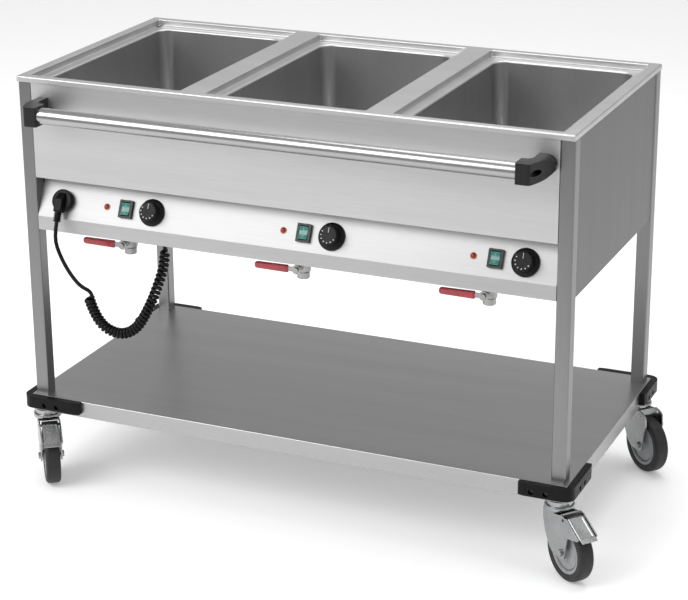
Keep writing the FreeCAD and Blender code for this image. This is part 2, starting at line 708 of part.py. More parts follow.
def route_wire(points, label):
    """Straight runs joined by tangent arcs; prints each bend's radius."""
    points = [VEC(*point) for point in points]
    edges = []
    start = points[0]
    radii = []
    for before, corner, after in zip(points, points[1:], points[2:]):
        first = before - corner
        second = after - corner
        turn = math.pi - first.getAngle(second)
        reach = 0.45 * min(first.Length, second.Length)
        radius = reach / math.tan(turn / 2)
        radii.append(round(radius, 1))
        into = corner + first.normalize() * reach
        out = corner + second.normalize() * reach
        inward = (first + second).normalize()
        centre = corner + inward * (radius / math.cos(turn / 2))
        edges.append(Part.LineSegment(start, into).toShape())
        edges.append(Part.Arc(into, centre - inward * radius, out).toShape())
        start = out
    edges.append(Part.LineSegment(start, points[-1]).toShape())
    print(label, "bend radii", radii)
    return Part.Wire(edges)


def cord_solid(points, radius, label):
    """Tube of one radius along a route, checked against section times length."""
    wire = route_wire(points, label)
    normal = (VEC(*points[1]) - VEC(*points[0])).normalize()
    ring = Part.Wire([Part.makeCircle(radius, VEC(*points[0]), normal)])
    tube = wire.makePipeShell([ring], True, False)
    expected = math.pi * radius ** 2 * wire.Length
    print(label, "length %.1f volume ratio %.4f" % (wire.Length, tube.Volume / expected))
    assert abs(tube.Volume / expected - 1) < 0.01
    feature = doc.addObject("Part::Feature", "Cord")
    feature.Shape = tube
    finish(feature, label)


# ---------------------------------------------------------------- drain valves
def drain_valves():
    """Three ball valve bodies screwed to the spigots, with their outlets down."""
    centre = val("valve_centre")
    half = val("valve_half")
    valves = []
    for _, x in GROUPS:
        barrel = turning([(0, centre - half), (12.2, centre - half), (13.4, centre - half + 1.2),
                          (13.4, centre - 15), (15.6, centre - 12), (15.6, centre + 12),
                          (13.4, centre + 15), (13.4, centre + half), (0, centre + half)])
        stem_boss = rod((0, -29.5, centre), 7.0, 20.0, "Y")
        ball_seat = doc.addObject("Part::Sphere", "Seat")
        ball_seat.Radius = 11.7
        place(ball_seat, (0, 0, centre))
        tools = [ball_seat, rod((0, -31, centre), 4.06, 25, "Y"),
                 rod((0, 0, centre - half - 1), "Dims.outlet_bore", "Dims.outlet_depth + 1"),
                 rod((0, 0, centre - half), "Dims.outlet_port", half),
                 rod((0, 0, centre), "Dims.port_radius", half),
                 rod((0, 0, centre + 14), "Dims.spigot_radius", half)]
        valves.append(place(cut(fuse(barrel, stem_boss), *tools), (x, val("drain_y"), 0)))
    finish(group(valves), "drain_valves")


def valve_lever(side, x):
    """Ball with its stem, and the flat lever that turns it; closed with the lever along -X."""
    ball = doc.addObject("Part::Sphere", "Ball")
    ball.Radius = 11.5
    stem = fuse(ball, rod((0, -37, 0), 4.0, 30, "Y"), rod((0, -41, 0), 5.5, 4.5, "Y"))
    stem = cut(stem, rod((-15, 0, 0), "Dims.port_radius", 30, "X"))
    blade = fuse(rod((0, -36.5, 0), 10.0, 3.0, "Y"),
                 box((-val("lever_length") + 2, -36.5, -5.0), ("Dims.lever_length - 2", 3.0, 10.0)))
    blade = cut(blade, rod((0, -38, 0), 4.0, 6, "Y"))
    finish(group([stem, blade]), "valve_lever_" + side, (x, val("drain_y"), val("valve_centre")))


def valve_grip(side, x):
    """Dipped grip on the lever's blade."""
    long = val("lever_length")
    outline = rounded([(-long, -7.0), (-18, -8.0), (-18, 8.0), (-long, 7.0)], [6.0, 2.0, 2.0, 3.0])
    grip = cut(prism("XZ_Plane", [outline], 9.0, 30.5),
               box((-long + 2, -36.5, -5.0), (long, 3.0, 10.0)))
    finish(grip, "valve_grip_" + side, (x, val("drain_y"), val("valve_centre")))


# ---------------------------------------------------------------- casters
AXLE_Z = val("wheel_radius")
TRAIL = val("caster_trail")
PEDAL_PIVOT = (46.0, 134.5)


def caster_stems():
    """Four threaded fittings: leg insert, bolt, spacer, upper ball race and kingpin."""
    stems = []
    for _, side, end, _, _ in CORNERS:
        insert = slab(13.4, 13.4, SHELF_TOP, SHELF_TOP + 26)
        parts = [insert, rod((0, 0, 150), 6.0, SHELF_TOP - 148),
                 rod((0, 0, 160), 15.0, SHELF_TOP - THK - 160), rod((0, 0, 150), 27.0, 10.0),
                 rod((0, 0, 133), 6.0, 18.0), rod((0, 0, 130.5), 9.0, 4.0)]
        stems.append(place(fuse(*parts), (side * LEG_MID_X, end * LEG_MID_Y, 0)))
    finish(group(stems), "caster_stems")


def heading(side, end, angle):
    """Position of a caster and its rotation; the wheel trails along the rotated X."""
    return (side * LEG_MID_X, end * LEG_MID_Y, 0.0), turned((0, 0, 1), angle - 90.0)


def caster_fork(name, side, end, angle):
    """Pressed fork with its swivel cup, and the axle bolt held in it."""
    cup = turning([(6.06, 138), (24.0, 138), (29.5, 140), (31.0, 143.5), (31.0, 147), (29.5, 149.7),
                   (6.06, 149.7)])
    crown = cut(slab(23.0, 23.0, 135, 138), rod((0, 0, 130), 6.06, 10))
    arm = [(64, 104), (67, 112)]
    if end < 0:
        arm = [(96.5, 109.5), (100, 114)]
    outline = [(-23, 138), (-23, 117), (-15, 89), (1, 61), (14, 51), (42, 49), (53, 52),
               (57, 66), (59, 84), (62.5, 102), *arm, (64.5, 135.5), (54, 141), (40, 143.5),
               (30, 140), (20, 138)]
    radii = [0, 20, 20, 12, 12, 10, 6, 0, 12, 4, 2, 3, 10, 8, 6, 0, 0]
    cheeks = []
    for low in (-23.5, 20.5):
        cheek = prism("XZ_Plane", [rounded(outline, radii), circle(TRAIL, AXLE_Z, 4.0),
                                   circle(PEDAL_PIVOT[0], PEDAL_PIVOT[1], 3.06)], 3.0, low)
        cheeks.append(cheek)
    fork = fuse(cup, crown, *cheeks)
    bolt = fuse(rod((TRAIL, -28, AXLE_Z), "Dims.axle_radius", 56, "Y"),
                rod((TRAIL, -28, AXLE_Z), 7.0, 4.5, "Y"), rod((TRAIL, 23.5, AXLE_Z), 7.0, 4.5, "Y"))
    base, rotation = heading(side, end, angle)
    finish(group([fork, bolt]), "caster_fork_" + name, base, rotation)


def wheel_place(side, end, angle):
    """Centre of a wheel and the rotation that lays its turning axis along the axle."""
    base, rotation = heading(side, end, angle)
    centre = rotation.multVec(VEC(TRAIL, 0, 0))
    return (base[0] + centre.x, base[1] + centre.y, AXLE_Z), rotation.multiply(turned((1, 0, 0), 90))


def caster_wheel(name, side, end, angle):
    """Wheel centre with its hub, web and rim."""
    rim = val("rim_radius")
    bore = val("axle_radius") + 0.06
    outline = [(bore, -19), (13, -19), (14, -6), (rim - 8, -6), (rim - 6, -14), (rim, -14),
               (rim, 14), (rim - 6, 14), (rim - 8, 6), (14, 6), (13, 19), (bore, 19)]
    base, rotation = wheel_place(side, end, angle)
    finish(turning(outline), "caster_wheel_" + name, base, rotation)


def caster_tyre(name, side, end, angle):
    """Rubber tread bonded to the rim."""
    rim = val("rim_radius")
    outer = val("wheel_radius")
    half = val("tyre_width") / 2
    outline = [(rim, -half + 1), (outer - 9, -half), (outer - 3.5, -half + 2.5),
               (outer, -half + 8), (outer, half - 8), (outer - 3.5, half - 2.5),
               (outer - 9, half), (rim, half - 1)]
    base, rotation = wheel_place(side, end, angle)
    finish(turning(outline), "caster_tyre_" + name, base, rotation)


def brake_pedal(name, side, end, angle):
    """Foot pedal of the wheel brake with its cross pin."""
    outline = [(38, 131.5), (38, 140.5), (49, 143), (56, 140.5), (103, 111), (109, 111),
               (109, 108.5), (102, 108.5), (55, 137.5), (54, 131.5)]
    plate = prism("XZ_Plane", [rounded(outline, [1, 1, 3, 3, 1, 0.5, 0.5, 1, 1, 1])], 36.0,
                  midplane=True)
    pin = rod((PEDAL_PIVOT[0], -24.0, PEDAL_PIVOT[1]), 3.0, 48.0, "Y")
    base, rotation = heading(side, end, angle)
    finish(fuse(plate, pin), "brake_pedal_" + name, base, rotation)


# ---------------------------------------------------------------- build
top_deck()
for side_name, well_x in GROUPS:
    well(side_name, well_x)
heating_elements()
for corner_name, x_side, y_end, _, bumper_turn in CORNERS:
    leg(corner_name, x_side, y_end)
    corner_bumper(corner_name, x_side, y_end, bumper_turn)
front_fascia()
rear_panel()
side_panel(-1, "left")
side_panel(1, "right")
control_panel()
underside_pan()
lower_shelf()
pan_head_screws()
push_handle_tube()
handle_bracket(-1, "left")
handle_bracket(1, "right")
indicator_lamps()
switch_housings()
thermostats()
plug_socket()
plug()
cable_gland()
drain_valves()
for side_name, well_x in GROUPS:
    rocker(side_name, well_x)
    control_knob(side_name, well_x)
    valve_lever(side_name, well_x)
    valve_grip(side_name, well_x)
caster_stems()
for corner_name, x_side, y_end, wheel_angle, _ in CORNERS:
    caster_fork(corner_name, x_side, y_end, wheel_angle)
    caster_wheel(corner_name, x_side, y_end, wheel_angle)
    caster_tyre(corner_name, x_side, y_end, wheel_angle)
    if y_end < 0:
        brake_pedal(corner_name, x_side, y_end, wheel_angle)
doc.recompute()

# The frame's origin lies below the middle of the box around everything but the cord.
limits = FreeCAD.BoundBox()
for piece in FINISHED:
    if piece.Label != "plug":
        limits.add(piece.Shape.optimalBoundingBox(False, False))
dims.set("B%d" % (len(CELLS) - 1), repr(round(-limits.Center.x, 3)))
dims.set("B%d" % len(CELLS), repr(round(-limits.Center.y, 3)))
cord_solid(LEAD_ROUTE, val("cord_radius"), "cord_lead")
cord_solid(COIL_ROUTE, val("coil_radius"), "curly_cord")
doc.recompute()
print("frame shift", val("frame_x"), val("frame_y"))
print("box", limits)

# ---------------------------------------------------------------- checks and files
for item in doc.Objects:
    bad = [state for state in item.State if state in ("Invalid", "Error")]
    assert not bad, (item.Label, item.State)
os.makedirs("parts", exist_ok=True)
for piece in FINISHED:
    shape = piece.Shape
    assert not shape.isNull() and shape.isValid() and shape.Solids, piece.Label
    print("%-28s solids %2d volume %10.0f" % (piece.Label, len(shape.Solids), shape.Volume))
    shape.exportStep("parts/%s.step" % piece.Label)
print(len(FINISHED), "pieces written")
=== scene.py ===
"""Looks of the steam table unit: finishes, drawn and moulded shapes, the mains cord, light and camera.

Points are in millimetres from the middle of the deck, with z from the floor; at() takes them to metres
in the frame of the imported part.
"""
import json
import math

import bmesh
import bpy
from mathutils import Matrix, Vector
from mathutils.geometry import tessellate_polygon


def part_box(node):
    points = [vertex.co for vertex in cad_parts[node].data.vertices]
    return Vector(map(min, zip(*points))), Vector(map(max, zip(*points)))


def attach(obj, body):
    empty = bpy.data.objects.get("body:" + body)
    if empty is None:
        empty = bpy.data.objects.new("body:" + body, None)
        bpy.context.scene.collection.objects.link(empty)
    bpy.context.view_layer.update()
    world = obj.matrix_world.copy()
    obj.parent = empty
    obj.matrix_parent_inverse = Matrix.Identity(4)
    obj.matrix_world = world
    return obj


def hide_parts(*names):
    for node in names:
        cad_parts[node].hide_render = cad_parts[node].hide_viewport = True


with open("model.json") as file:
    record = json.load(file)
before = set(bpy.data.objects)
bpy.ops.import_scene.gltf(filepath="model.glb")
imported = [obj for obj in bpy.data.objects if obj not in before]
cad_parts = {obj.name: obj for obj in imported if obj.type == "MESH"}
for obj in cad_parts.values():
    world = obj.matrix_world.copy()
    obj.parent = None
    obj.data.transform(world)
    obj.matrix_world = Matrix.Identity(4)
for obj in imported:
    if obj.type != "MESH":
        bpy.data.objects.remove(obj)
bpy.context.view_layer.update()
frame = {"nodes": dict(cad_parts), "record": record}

# ---------------------------------------------------------------- sizes
MM = 0.001
DECK_LOW, DECK_HIGH = [Vector(corner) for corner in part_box("top_deck")]
ORIGIN = Vector(((DECK_LOW.x + DECK_HIGH.x) / 2, (DECK_LOW.y + DECK_HIGH.y) / 2, 0.0))
HALF_X = (DECK_HIGH.x - DECK_LOW.x) / 2 / MM
HALF_Y = (DECK_HIGH.y - DECK_LOW.y) / 2 / MM
TOP = DECK_HIGH.z / MM
SHEET = 1.5
RIM_BOTTOM = TOP - 12.0
LEDGE_TOP = TOP - 14.0
WELL_PITCH = 407.0
OPENING = (153.0, 255.0, 30.0)
RECESS = (175.0, 280.5, 5.0)
WELL_FLOOR = TOP - 200.0
DRAIN_Y = -200.0
LEG_HALF = 15.0
LEG_OUT_X = HALF_X - 0.5
LEG_OUT_Y = HALF_Y - 6.5
LEG_MID_X = LEG_OUT_X - LEG_HALF
LEG_MID_Y = LEG_OUT_Y - LEG_HALF
SHELF_X = 611.5
SHELF_Y = 304.0
SHELF_TOP = 197.0
PANEL_TILT = math.radians(24.5)
PANEL_MID = 644.0
PANEL_FOOT = 607.0
PANEL_BASE_Y = -LEG_OUT_Y + (PANEL_MID - PANEL_FOOT) * math.tan(PANEL_TILT)
LAMP_X = -7.0
SWITCH_X = 39.5
KNOB_X = 100.0
PLUG_X = -516.5
CONTROLS_UP = -3.0
HANDLE_Z = TOP - 62.0
HANDLE_Y = -LEG_OUT_Y - 64.5
HANDLE_HALF = 535.5
VALVE_Z = 544.0
CORD_RADIUS = 4.2
# Name and middle of each well with its controls; name, sides and trailing angle of each caster.
GROUPS = [("left", -WELL_PITCH), ("middle", 0.0), ("right", WELL_PITCH)]
CORNERS = [("front_left", -1, -1, 36.0), ("front_right", 1, -1, 52.0),
           ("rear_right", 1, 1, 50.0), ("rear_left", -1, 1, -84.0)]


def at(point):
    """Millimetres from the deck's middle, as metres in the part's frame."""
    return Vector(point) * MM + ORIGIN


# ---------------------------------------------------------------- materials
class Finish:
    """A node material with its shader and short calls for the usual texture nodes."""

    def __init__(self, name, colour, metallic=0.0, roughness=0.5, **sockets):
        self.material = bpy.data.materials.new(name)
        self.material.use_nodes = True
        self.nodes = self.material.node_tree.nodes
        self.links = self.material.node_tree.links
        self.shader = self.nodes["Principled BSDF"]
        self.colour = (*colour, 1.0)
        self.shader.inputs["Base Color"].default_value = self.colour
        self.shader.inputs["Metallic"].default_value = metallic
        self.shader.inputs["Roughness"].default_value = roughness
        for socket, amount in sockets.items():
            self.shader.inputs[socket.replace("_", " ")].default_value = amount
        self.coordinates = self.nodes.new("ShaderNodeTexCoord").outputs["Object"]
        self.heights = []

    def noise(self, scale, detail=2.0, stretch=(1.0, 1.0, 1.0)):
        """Noise whose scale is in turns per metre along each axis."""
        mapping = self.nodes.new("ShaderNodeMapping")
        mapping.inputs["Scale"].default_value = stretch
        self.links.new(self.coordinates, mapping.inputs["Vector"])
        texture = self.nodes.new("ShaderNodeTexNoise")
        texture.inputs["Scale"].default_value = scale
        texture.inputs["Detail"].default_value = detail
        self.links.new(mapping.outputs["Vector"], texture.inputs["Vector"])
        return texture.outputs["Fac"]

    def spread(self, source, low, high, start=0.3, end=0.7):
        """Map a texture's middle range to other limits."""
        node = self.nodes.new("ShaderNodeMapRange")
        for socket, amount in zip(("From Min", "From Max", "To Min", "To Max"), (start, end, low, high)):
            node.inputs[socket].default_value = amount
        self.links.new(source, node.inputs["Value"])
        return node.outputs["Result"]

    def total(self, first, second):
        """Sum of two texture values."""
        node = self.nodes.new("ShaderNodeMath")
        node.operation = "ADD"
        self.links.new(first, node.inputs[0])
        self.links.new(second, node.inputs[1])
        return node.outputs["Value"]

    def tint(self, factor, dark, light):
        """Base colour between two shares of the finish's own colour."""
        node = self.nodes.new("ShaderNodeMix")
        node.data_type = "RGBA"
        self.links.new(factor, node.inputs["Factor"])
        for socket, share in ((6, dark), (7, light)):
            node.inputs[socket].default_value = (*[min(1.0, c * share) for c in self.colour[:3]], 1.0)
        self.links.new(node.outputs[2], self.shader.inputs["Base Color"])

    def rough(self, source, low, high):
        """Roughness between two limits."""
        self.links.new(self.spread(source, low, high), self.shader.inputs["Roughness"])

    def bump(self, source, distance):
        """Relief of a given depth in metres."""
        node = self.nodes.new("ShaderNodeBump")
        node.inputs["Strength"].default_value = 1.0
        node.inputs["Distance"].default_value = distance
        self.links.new(source, node.inputs["Height"])
        if self.heights:
            self.links.new(self.heights[-1], node.inputs["Normal"])
        self.heights.append(node.outputs["Normal"])
        self.links.new(node.outputs["Normal"], self.shader.inputs["Normal"])


def brushed(name, colour, roughness, along, depth=1.6e-5):
    """Stainless sheet: long fine lines along one axis, soft smudges and slow changes of tone."""
    finish = Finish(name, colour, 1.0, roughness)
    stretch = [1.0 if axis == along else 90.0 for axis in "XYZ"]
    lines = finish.noise(14.0, 4.0, stretch)
    bands = finish.noise(3.0, 2.0, [0.25 if axis == along else 5.0 for axis in "XYZ"])
    smudges = finish.noise(7.0, 3.0)
    finish.tint(finish.spread(finish.total(lines, bands), 0.0, 1.0, 0.75, 1.25), 0.93, 1.05)
    finish.rough(finish.total(lines, smudges), roughness - 0.05, roughness + 0.07)
    finish.bump(lines, depth)
    return finish.material


def moulded(name, colour, roughness, grain=1.2e-5, **sockets):
    """Moulded plastic or rubber: fine spark texture, faint scuffs and uneven gloss."""
    finish = Finish(name, colour, 0.0, roughness, **sockets)
    scuffs = finish.noise(60.0, 5.0)
    finish.tint(finish.spread(scuffs, 0.0, 1.0), 0.85, 1.25)
    finish.rough(finish.noise(180.0, 3.0), roughness - 0.06, roughness + 0.08)
    finish.bump(finish.noise(2600.0, 2.0), grain)
    return finish.material


def plated(name, colour, roughness):
    """Zinc, nickel or chrome plate over pressed or turned metal."""
    finish = Finish(name, colour, 1.0, roughness)
    clouds = finish.noise(25.0, 1.0)
    finish.tint(finish.spread(clouds, 0.0, 1.0), 0.92, 1.04)
    finish.rough(finish.noise(50.0, 1.0), roughness - 0.03, roughness + 0.05)
    finish.bump(finish.noise(300.0, 1.0), 1.5e-6)
    return finish.material


def glowing_lens(name, colour, roughness, transmission):
    """Tinted translucent plastic over a lamp, with faint moulding ripples."""
    finish = Finish(name, colour, 0.0, roughness, Transmission_Weight=transmission, IOR=1.49,
                    Coat_Weight=0.6, Coat_Roughness=0.08)
    finish.tint(finish.spread(finish.noise(160.0, 3.0), 0.0, 1.0), 0.8, 1.2)
    finish.bump(finish.noise(500.0, 2.0), 8e-6)
    return finish.material


FINISHES = {
    "brushed_steel": brushed("brushed_steel", (0.58, 0.58, 0.58), 0.36, "X"),
    "well_steel": brushed("well_steel", (0.5, 0.5, 0.5), 0.27, "Z"),
    # Painted shade: the leg tubes' steel is set far darker than the sheet steel, standing in for the shade
    # under the deck; the upright grain is their own.
    "tube_steel": brushed("tube_steel", (0.235, 0.235, 0.237), 0.28, "Z"),
    "shelf_steel": brushed("shelf_steel", (0.42, 0.42, 0.42), 0.27, "X"),
    "bumper_black": moulded("bumper_black", (0.003, 0.003, 0.0033), 0.42, Specular_IOR_Level=0.16),
    # Painted shade: the screws are set nearly black, standing in for the shade in the bumper holes they sit
    # in.
    "screw_steel": plated("screw_steel", (0.05, 0.05, 0.053), 0.35),
    "handle_polished": brushed("handle_polished", (0.38, 0.38, 0.38), 0.19, "X", depth=3e-6),
    "bracket_black": moulded("bracket_black", (0.009, 0.009, 0.0095), 0.38, Specular_IOR_Level=0.32),
    "heater_steel": plated("heater_steel", (0.3, 0.28, 0.27), 0.4),
    "lamp_lens": glowing_lens("lamp_lens", (0.24, 0.008, 0.004), 0.2, 0.1),
    "switch_black": moulded("switch_black", (0.009, 0.009, 0.0095), 0.3, Specular_IOR_Level=0.32),
    "thermostat_plastic": moulded("thermostat_plastic", (0.62, 0.6, 0.54), 0.5),
    "socket_black": moulded("socket_black", (0.003, 0.003, 0.0033), 0.4, Specular_IOR_Level=0.12),
    "plug_rubber": moulded("plug_rubber", (0.004, 0.004, 0.0045), 0.38, Specular_IOR_Level=0.16),
    "gland_plastic": moulded("gland_plastic", (0.022, 0.022, 0.023), 0.42),
    "valve_metal": plated("valve_metal", (0.4, 0.4, 0.395), 0.4),
    "grip_red": moulded("grip_red", (0.4, 0.005, 0.016), 0.22, Coat_Weight=0.6, Coat_Roughness=0.08),
    "caster_zinc": plated("caster_zinc", (0.38, 0.383, 0.388), 0.25),
    "cord_rubber": moulded("cord_rubber", (0.003, 0.003, 0.0033), 0.32, Specular_IOR_Level=0.2),
    "rocker_green": glowing_lens("rocker_green", (0.004, 0.19, 0.15), 0.3, 0.1),
    "knob_black": moulded("knob_black", (0.004, 0.004, 0.0045), 0.4, Specular_IOR_Level=0.2),
    "wheel_grey": moulded("wheel_grey", (0.26, 0.265, 0.275), 0.45),
    "tyre_grey": moulded("tyre_grey", (0.017, 0.017, 0.0185), 0.52, grain=3e-5, Specular_IOR_Level=0.35),
}
LAMP_RING = moulded("lamp_ring", (0.8, 0.27, 0.08), 0.3)
DIAL_PRINT = moulded("dial_print", (0.48, 0.48, 0.47), 0.5)
SWITCH_PRINT = moulded("switch_print", (0.16, 0.42, 0.38), 0.4)
PANEL_STEEL = brushed("panel_steel", (0.48, 0.48, 0.48), 0.46, "X")
# Painted shade: the side panels get a copy of the stainless sheet far darker than the front, standing in for
# the shade on the unit's sides; the upright grain is their own.
SIDE_STEEL_SHADED = brushed("side_steel_painted_shade", (0.165, 0.165, 0.165), 0.36, "Z")
SLOT_OF = {part["node"]: part["material_slot"] for part in frame["record"]["subparts"]}
BODY_OF = {node: body for body, nodes in frame["record"]["behaviour"]["bodies"].items() for node in nodes}


# ---------------------------------------------------------------- mesh helpers
def rounded(corners, radii, steps=5):
    """Closed outline through the corners, each with its own radius."""
    outline = []
    count = len(corners)
    for i, (corner, radius) in enumerate(zip(corners, radii)):
        here = Vector(corner)
        before = (Vector(corners[i - 1]) - here).normalized()
        after = (Vector(corners[(i + 1) % count]) - here).normalized()
        if radius <= 0:
            outline.append(here)
            continue
        half = before.angle(after) / 2
        centre = here + (before + after).normalized() * (radius / math.sin(half))
        start = here + before * (radius / math.tan(half)) - centre
        end = here + after * (radius / math.tan(half)) - centre
        total = math.pi - 2 * half
        for k in range(steps + 1):
            turn = k / steps * total
            blend = start * math.sin(total - turn) + end * math.sin(turn)
            outline.append(centre + blend / math.sin(total))
    return [(point.x, point.y) for point in outline]


def rectangle(half_x, half_y, radius, steps=6):
    """Outline of a rectangle about the middle, anticlockwise, with rounded corners."""
    corners = [(-half_x, -half_y), (half_x, -half_y), (half_x, half_y), (-half_x, half_y)]
    return rounded(corners, [radius] * 4, steps)


def inset(outline, amount):
    """Anticlockwise outline moved inwards by one amount."""
    moved = []
    count = len(outline)
    for i, point in enumerate(outline):
        here = Vector(point)
        into = (here - Vector(outline[i - 1])).normalized()
        out = (Vector(outline[(i + 1) % count]) - here).normalized()
        normal = Vector((-into.y - out.y, into.x + out.x))
        moved.append(here + normal * (amount / (1 + into.dot(out))))
    return [(point.x, point.y) for point in moved]


def arc(centre, radius, start, end, steps=5):
    """Points on a circle between two angles in degrees."""
    angles = [math.radians(start + (end - start) * k / steps) for k in range(steps + 1)]
    return [(centre[0] + radius * math.cos(a), centre[1] + radius * math.sin(a)) for a in angles]


def circle(x, y, radius, steps=40):
    """Anticlockwise circle as an outline."""
    return arc((x, y), radius, 0.0, 360.0 * (steps - 1) / steps, steps - 1)


class Mesh:
    """Points of one piece, in millimetres, and the faces between them."""

    def __init__(self, place=None):
        self.place = place or Matrix.Identity(4)
        self.points = []
        self.faces = []

    def ring(self, points):
        """Add points and give their numbers."""
        first = len(self.points)
        self.points += [self.place @ Vector(point) for point in points]
        return list(range(first, len(self.points)))

    def band(self, first, second):
        """Faces between two closed rings; a ring of one point makes a fan."""
        count = max(len(first), len(second))
        for i in range(count):
            j = (i + 1) % count
            corners = [first[i % len(first)], first[j % len(first)],
                       second[j % len(second)], second[i % len(second)]]
            self.faces.append(tuple(dict.fromkeys(corners)))

    def skin(self, rings, caps=True, around=False):
        """Join rings of points one after another."""
        rings = [self.ring(points) for points in rings]
        for first, second in zip(rings, rings[1:]):
            self.band(first, second)
        if around:
            self.band(rings[-1], rings[0])
        elif caps:
            self.faces += [tuple(ring) for ring in (rings[0], rings[-1]) if len(ring) > 2]
        return rings

    def flat(self, outer, *holes):
        """Flat face with holes between rings that are already there."""
        loops = [outer, *holes]
        numbers = [number for loop in loops for number in loop]
        outlines = [[self.points[number] for number in loop] for loop in loops]
        for triangle in tessellate_polygon(outlines):
            self.faces.append(tuple(numbers[i] for i in triangle))

    def prism(self, outline, low, high, edge=0.0, steps=3):
        """Anticlockwise outline between two heights, with rounded upper and lower edges."""
        levels = []
        for k in range(steps + 1 if edge > 0 else 1):
            angle = math.pi / 2 * k / steps
            levels.append((edge * (1 - math.sin(angle)), edge * (1 - math.cos(angle))))
        rings = [[(x, y, low + up) for x, y in inset(outline, within)] for within, up in levels]
        rings += [[(x, y, high - up) for x, y in inset(outline, within)] for within, up in levels[::-1]]
        self.skin(rings)

    def lathe(self, profile, steps=56, around=False):
        """Turn (radius, height) points about Z."""
        rings = []
        for radius, height in profile:
            count = steps if radius > 0 else 1
            angles = [2 * math.pi * k / steps for k in range(count)]
            rings.append([(radius * math.cos(a), radius * math.sin(a), height) for a in angles])
        self.skin(rings, around=around)


SHARP_EDGE = 32.0
PANEL_CREASE = 20.0


def show(name, mesh, body, material, nodes=(), sharp=SHARP_EDGE):
    """Turn a Mesh into a piece that rides on a body and stands for the given CAD nodes."""
    data = bpy.data.meshes.new(name)
    data.from_pydata([at(point) for point in mesh.points], [], mesh.faces)
    return present(name, data, body, material, nodes, 0.0, sharp)


def present(name, data, body, material, nodes, bevel, sharp):
    """Clean normals, smooth shading with crisp edges, modifiers, finish and body of a piece."""
    work = bmesh.new()
    work.from_mesh(data)
    bmesh.ops.recalc_face_normals(work, faces=work.faces)
    work.to_mesh(data)
    work.free()
    data.materials.clear()
    data.materials.append(material)
    data.polygons.foreach_set("use_smooth", [True] * len(data.polygons))
    data.set_sharp_from_angle(angle=math.radians(sharp))
    obj = bpy.data.objects.new(name, data)
    bpy.context.scene.collection.objects.link(obj)
    if bevel > 0:
        rounding = obj.modifiers.new("Edges", "BEVEL")
        rounding.width = bevel * MM
        rounding.segments = 3
        rounding.limit_method = "ANGLE"
        rounding.angle_limit = math.radians(sharp)
        rounding.harden_normals = False
    weighted = obj.modifiers.new("Normals", "WEIGHTED_NORMAL")
    weighted.keep_sharp = bevel <= 0
    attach(obj, body)
    if nodes:
        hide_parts(*nodes)
    return obj


def refined(node, bevel, material=None, sharp=SHARP_EDGE):
    """Clean copy of a CAD node: merged facets, rounded edges and its finish."""
    data = frame["nodes"][node].data.copy()
    work = bmesh.new()
    work.from_mesh(data)
    bmesh.ops.remove_doubles(work, verts=work.verts, dist=2e-6)
    bmesh.ops.dissolve_limit(work, angle_limit=math.radians(0.6), verts=work.verts, edges=work.edges)
    work.to_mesh(data)
    work.free()
    for name in [layer.name for layer in data.attributes if layer.name == "custom_normal"]:
        data.attributes.remove(data.attributes[name])
    slot = SLOT_OF[node]
    finish = material or FINISHES[slot]
    return present(node + "_finished", data, BODY_OF[node], finish, [node], bevel, sharp)


# ---------------------------------------------------------------- mains cord
def panel_place(x, up=0.0, out=0.0):
    """Matrix whose axes are across, up and out of the slanted panel."""
    base = Vector((x, PANEL_BASE_Y + up * math.sin(PANEL_TILT) - out * math.cos(PANEL_TILT),
                   PANEL_MID + up * math.cos(PANEL_TILT) + out * math.sin(PANEL_TILT)))
    return Matrix.Translation(base) @ Matrix.Rotation(math.pi / 2 - PANEL_TILT, 4, "X")


PLUG_OUTLET = 47.0
PLUG_AXIS = 19.0
LEAD_STRAIGHT = 34.0
PLUG_EXIT = panel_place(PLUG_X, CONTROLS_UP - PLUG_OUTLET, PLUG_AXIS).translation
LEAD_START = panel_place(PLUG_X, CONTROLS_UP - PLUG_OUTLET - LEAD_STRAIGHT, PLUG_AXIS).translation
LEAD_ROUTE = [
    tuple(PLUG_EXIT), tuple(LEAD_START), (-500.0, -334.0, 538.0), (-485.5, -325.0, 500.0),
    (-470.0, -311.0, 468.0), (-453.5, -297.4, 454.5), (-449.9, -296.0, 440.0),
]
COIL_ROUTE = [
    (-458.0, -296.0, 438.0), (-445.0, -291.0, 385.0), (-397.0, -289.0, 360.0),
    (-352.0, -286.0, 377.0), (-320.0, -281.0, 433.0), (-301.0, -268.0, 490.0),
    (-293.0, -256.0, 530.0), (-293.0, -256.0, 567.0),
]
GLAND = COIL_ROUTE[-1]
GLAND_RUN = 9.0
HELIX_RADIUS = (8.3, 7.6)
HELIX_TAPER = 11.0
TIGHT_PITCH = 8.4
OPEN_PITCH = 10.4
OPENS_AFTER, OPENS_OVER = 0.45, 0.35
TURN_POINTS = 14


def spline_object(name, points, bevel):
    """Open NURBS curve through given control points, in metres."""
    data = bpy.data.curves.new(name, "CURVE")
    data.dimensions = "3D"
    spline = data.splines.new("NURBS")
    spline.points.add(len(points) - 1)
    for point, place in zip(spline.points, points):
        point.co = (*at(place), 1.0)
    spline.order_u = 3
    spline.use_endpoint_u = True
    spline.resolution_u = 4 if bevel > 0 else 12
    data.bevel_depth = bevel
    data.bevel_resolution = 5
    data.use_fill_caps = bevel > 0
    return bpy.data.objects.new(name, data)


def smooth_line(points):
    """Points on the NURBS line of a route, in millimetres from the deck's middle."""
    guide = spline_object("route_guide", points, 0.0)
    line = bpy.data.meshes.new_from_object(guide)
    places = [(vertex.co - ORIGIN) / MM for vertex in line.vertices]
    bpy.data.objects.remove(guide)
    bpy.data.meshes.remove(line)
    return places


